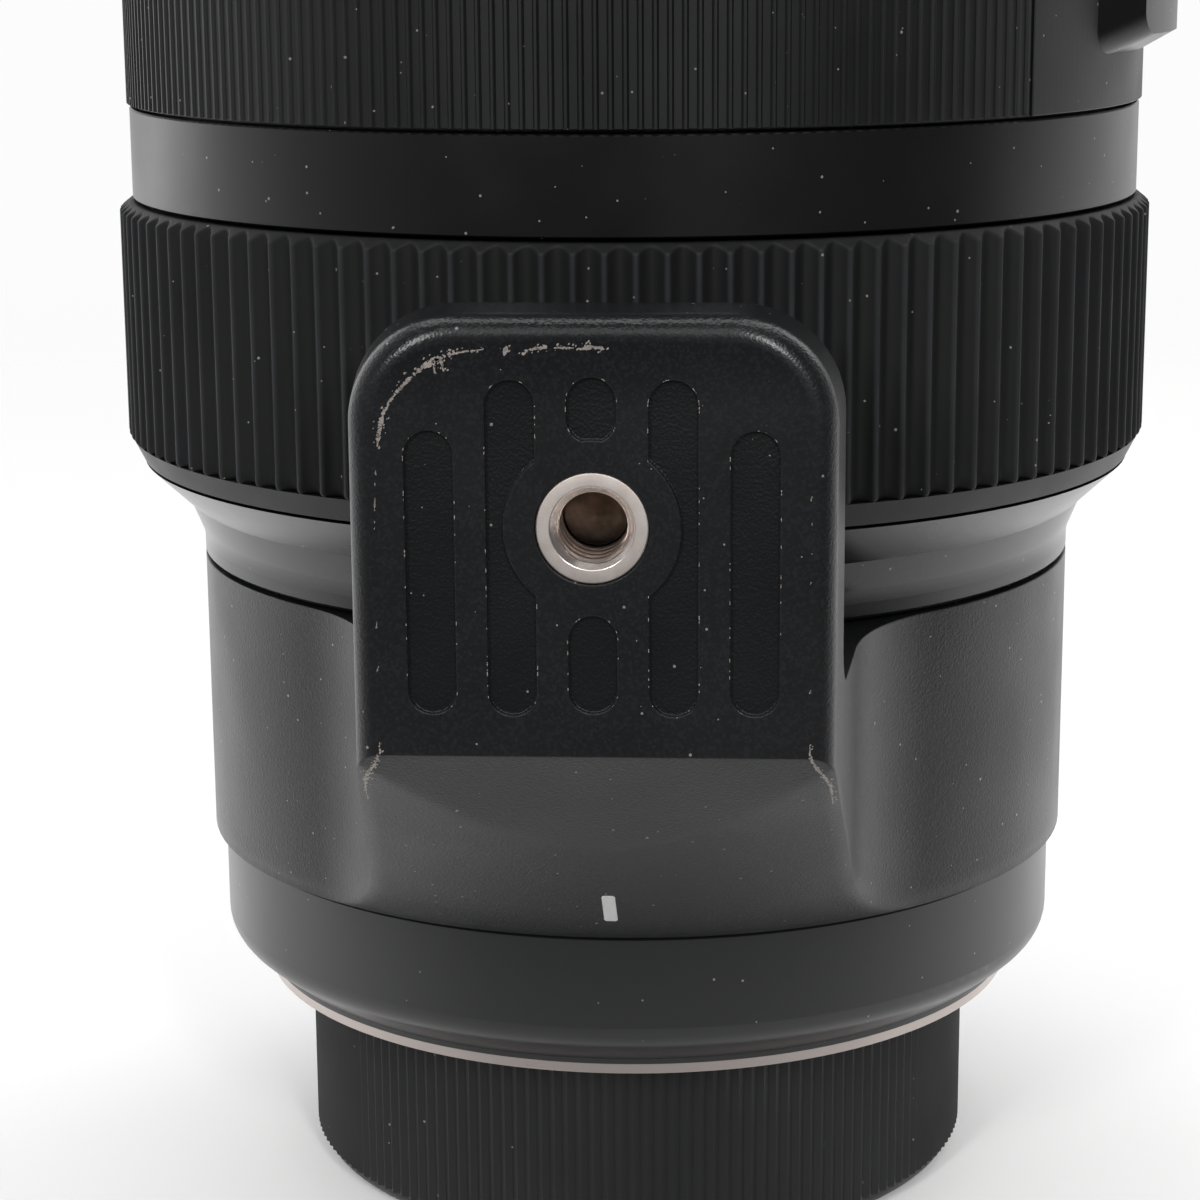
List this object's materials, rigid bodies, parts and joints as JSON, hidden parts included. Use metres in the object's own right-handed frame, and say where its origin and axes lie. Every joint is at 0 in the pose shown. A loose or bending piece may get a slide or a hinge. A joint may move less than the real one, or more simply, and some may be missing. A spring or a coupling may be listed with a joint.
{
  "type": "camera zoom lens",
  "caption": "Fast zoom lens standing on its rear cap: fluted zoom and focus rings, turning tripod collar with a drilled foot, cam-driven glass groups and a bladed iris.",
  "frame": {"origin": "on the optical axis at the underside of the rear cap, where the lens stands", "axes": "+Z along the optical axis towards the front glass, -Y towards the tripod foot at rest, +X towards the switch block"},
  "size_m": [0.0957, 0.1141, 0.1893],
  "materials": {
    "cap_plastic": "matt black, finely ribbed",
    "mount_metal": "bright plated, lightly brushed",
    "black_casting": "satin black paint on cast metal",
    "collar_casting": "satin charcoal paint with fine metallic grain",
    "black_shell": "satin black",
    "ribbed_shell": "black with fine upright ribs",
    "grip_rubber": "matt black, fluted",
    "grip_core": "satin black",
    "barrel_alloy": "black anodised",
    "steel": "turned",
    "gold_contact": "gold plated",
    "inner_plastic": "matt black",
    "circuit": "green board",
    "lens_glass": "clear, coated",
    "window_pane": "clear",
    "blade_steel": "blackened, matt"
  },
  "bodies": {
    "lens_body": {"mount_flange": "mount_metal", "mount_screws": "steel", "contact_block": "inner_plastic", "contacts": "gold_contact", "rear_barrel": "black_casting", "circuit_board": "circuit", "rear_cell": "barrel_alloy", "rear_element": "lens_glass", "rear_baffle": "inner_plastic", "iris_housing": "barrel_alloy", "iris_cover": "barrel_alloy", "neck_shell": "black_casting", "guide_barrel": "barrel_alloy", "outer_barrel": "barrel_alloy", "focus_motor": "steel", "smooth_band": "black_shell", "ribbed_sleeve": "ribbed_shell", "distance_window": "window_pane", "switch_block": "black_shell", "front_barrel": "black_shell", "filter_ring": "black_shell", "front_cell": "barrel_alloy", "front_element": "lens_glass", "front_retainer": "barrel_alloy"},
    "rear_cap_body": {"rear_cap": "cap_plastic"},
    "collar": {"tripod_collar": "collar_casting", "tripod_bush": "steel"},
    "lock": {"lock_knob": "cap_plastic", "lock_screw": "steel"},
    "zoom_ring": {"zoom_ring_core": "grip_core", "zoom_rubber": "grip_rubber", "zoom_key": "steel", "cam_barrel": "barrel_alloy"},
    "rear_zoom_group": {"rear_zoom_cell": "barrel_alloy", "rear_zoom_glass": "lens_glass", "rear_zoom_rollers": "steel"},
    "front_zoom_group": {"front_zoom_cell": "barrel_alloy", "front_zoom_glass": "lens_glass", "front_zoom_rollers": "steel"},
    "focus_ring": {"focus_ring_core": "grip_core", "focus_rubber": "grip_rubber", "focus_key": "steel", "focus_cam": "barrel_alloy", "distance_scale": "inner_plastic"},
    "focus_group": {"focus_cell": "barrel_alloy", "focus_glass": "lens_glass", "focus_rollers": "steel"},
    "iris_drive": {"iris_ring": "blade_steel"},
    "focus_switch": {"switch_knob": "inner_plastic"},
    "blade_1": {"iris_blade_1": "blade_steel"},
    "blade_2": {"iris_blade_2": "blade_steel"},
    "blade_3": {"iris_blade_3": "blade_steel"},
    "blade_4": {"iris_blade_4": "blade_steel"},
    "blade_5": {"iris_blade_5": "blade_steel"},
    "blade_6": {"iris_blade_6": "blade_steel"},
    "blade_7": {"iris_blade_7": "blade_steel"},
    "blade_8": {"iris_blade_8": "blade_steel"},
    "blade_9": {"iris_blade_9": "blade_steel"}
  },
  "joints": [
    {"name": "cap_pull", "type": "slide", "parent": "lens_body", "child": "rear_cap_body", "axis": [0, 0, -1], "range_m": [0, 0.02]},
    {"name": "collar_turn", "type": "hinge", "parent": "lens_body", "child": "collar", "pos_m": [0, 0, 0], "axis": [0, 0, 1], "continuous": true},
    {"name": "lock_turn", "type": "hinge", "parent": "collar", "child": "lock", "pos_m": [0.0245, 0.04244, 0.0454], "axis": [0.5, 0.866, 0], "range_deg": [0, 270]},
    {"name": "zoom_turn", "type": "hinge", "parent": "lens_body", "child": "zoom_ring", "pos_m": [0, 0, 0], "axis": [0, 0, 1], "range_deg": [0, 70]},
    {"name": "rear_zoom_slide", "type": "slide", "parent": "lens_body", "child": "rear_zoom_group", "axis": [0, 0, 1], "range_m": [0, 0.013]},
    {"name": "front_zoom_slide", "type": "slide", "parent": "lens_body", "child": "front_zoom_group", "axis": [0, 0, 1], "range_m": [0, 0.022]},
    {"name": "focus_turn", "type": "hinge", "parent": "lens_body", "child": "focus_ring", "pos_m": [0, 0, 0], "axis": [0, 0, 1], "range_deg": [0, 110]},
    {"name": "focus_slide", "type": "slide", "parent": "lens_body", "child": "focus_group", "axis": [0, 0, 1], "range_m": [0, 0.006]},
    {"name": "iris_turn", "type": "hinge", "parent": "lens_body", "child": "iris_drive", "pos_m": [0, 0, 0], "axis": [0, 0, 1], "range_deg": [0, 24]},
    {"name": "switch_slide", "type": "slide", "parent": "lens_body", "child": "focus_switch", "axis": [0, 0, 1], "range_m": [0, 0.003]},
    {"name": "blade_1_swing", "type": "hinge", "parent": "lens_body", "child": "blade_1", "pos_m": [0.029, 0, 0.0406], "axis": [0, 0, 1], "range_deg": [0, 34]},
    {"name": "blade_2_swing", "type": "hinge", "parent": "lens_body", "child": "blade_2", "pos_m": [0.02222, 0.01864, 0.0406], "axis": [0, 0, 1], "range_deg": [0, 34]},
    {"name": "blade_3_swing", "type": "hinge", "parent": "lens_body", "child": "blade_3", "pos_m": [0.00504, 0.02856, 0.0406], "axis": [0, 0, 1], "range_deg": [0, 34]},
    {"name": "blade_4_swing", "type": "hinge", "parent": "lens_body", "child": "blade_4", "pos_m": [-0.0145, 0.02511, 0.0406], "axis": [0, 0, 1], "range_deg": [0, 34]},
    {"name": "blade_5_swing", "type": "hinge", "parent": "lens_body", "child": "blade_5", "pos_m": [-0.02725, 0.00992, 0.0406], "axis": [0, 0, 1], "range_deg": [0, 34]},
    {"name": "blade_6_swing", "type": "hinge", "parent": "lens_body", "child": "blade_6", "pos_m": [-0.02725, -0.00992, 0.0406], "axis": [0, 0, 1], "range_deg": [0, 34]},
    {"name": "blade_7_swing", "type": "hinge", "parent": "lens_body", "child": "blade_7", "pos_m": [-0.0145, -0.02511, 0.0406], "axis": [0, 0, 1], "range_deg": [0, 34]},
    {"name": "blade_8_swing", "type": "hinge", "parent": "lens_body", "child": "blade_8", "pos_m": [0.00504, -0.02856, 0.0406], "axis": [0, 0, 1], "range_deg": [0, 34]},
    {"name": "blade_9_swing", "type": "hinge", "parent": "lens_body", "child": "blade_9", "pos_m": [0.02222, -0.01864, 0.0406], "axis": [0, 0, 1], "range_deg": [0, 34]}
  ],
  "couplings": [
    {"joint": "rear_zoom_slide", "follows": "zoom_turn", "m_per_rad": 0.01064},
    {"joint": "front_zoom_slide", "follows": "zoom_turn", "m_per_rad": 0.018007},
    {"joint": "focus_slide", "follows": "focus_turn", "m_per_rad": 0.003125},
    {"joint": "blade_1_swing", "follows": "iris_turn", "ratio": 1.4166},
    {"joint": "blade_2_swing", "follows": "iris_turn", "ratio": 1.4166},
    {"joint": "blade_3_swing", "follows": "iris_turn", "ratio": 1.4166},
    {"joint": "blade_4_swing", "follows": "iris_turn", "ratio": 1.4166},
    {"joint": "blade_5_swing", "follows": "iris_turn", "ratio": 1.4166},
    {"joint": "blade_6_swing", "follows": "iris_turn", "ratio": 1.4166},
    {"joint": "blade_7_swing", "follows": "iris_turn", "ratio": 1.4166},
    {"joint": "blade_8_swing", "follows": "iris_turn", "ratio": 1.4166},
    {"joint": "blade_9_swing", "follows": "iris_turn", "ratio": 1.4166}
  ]
}
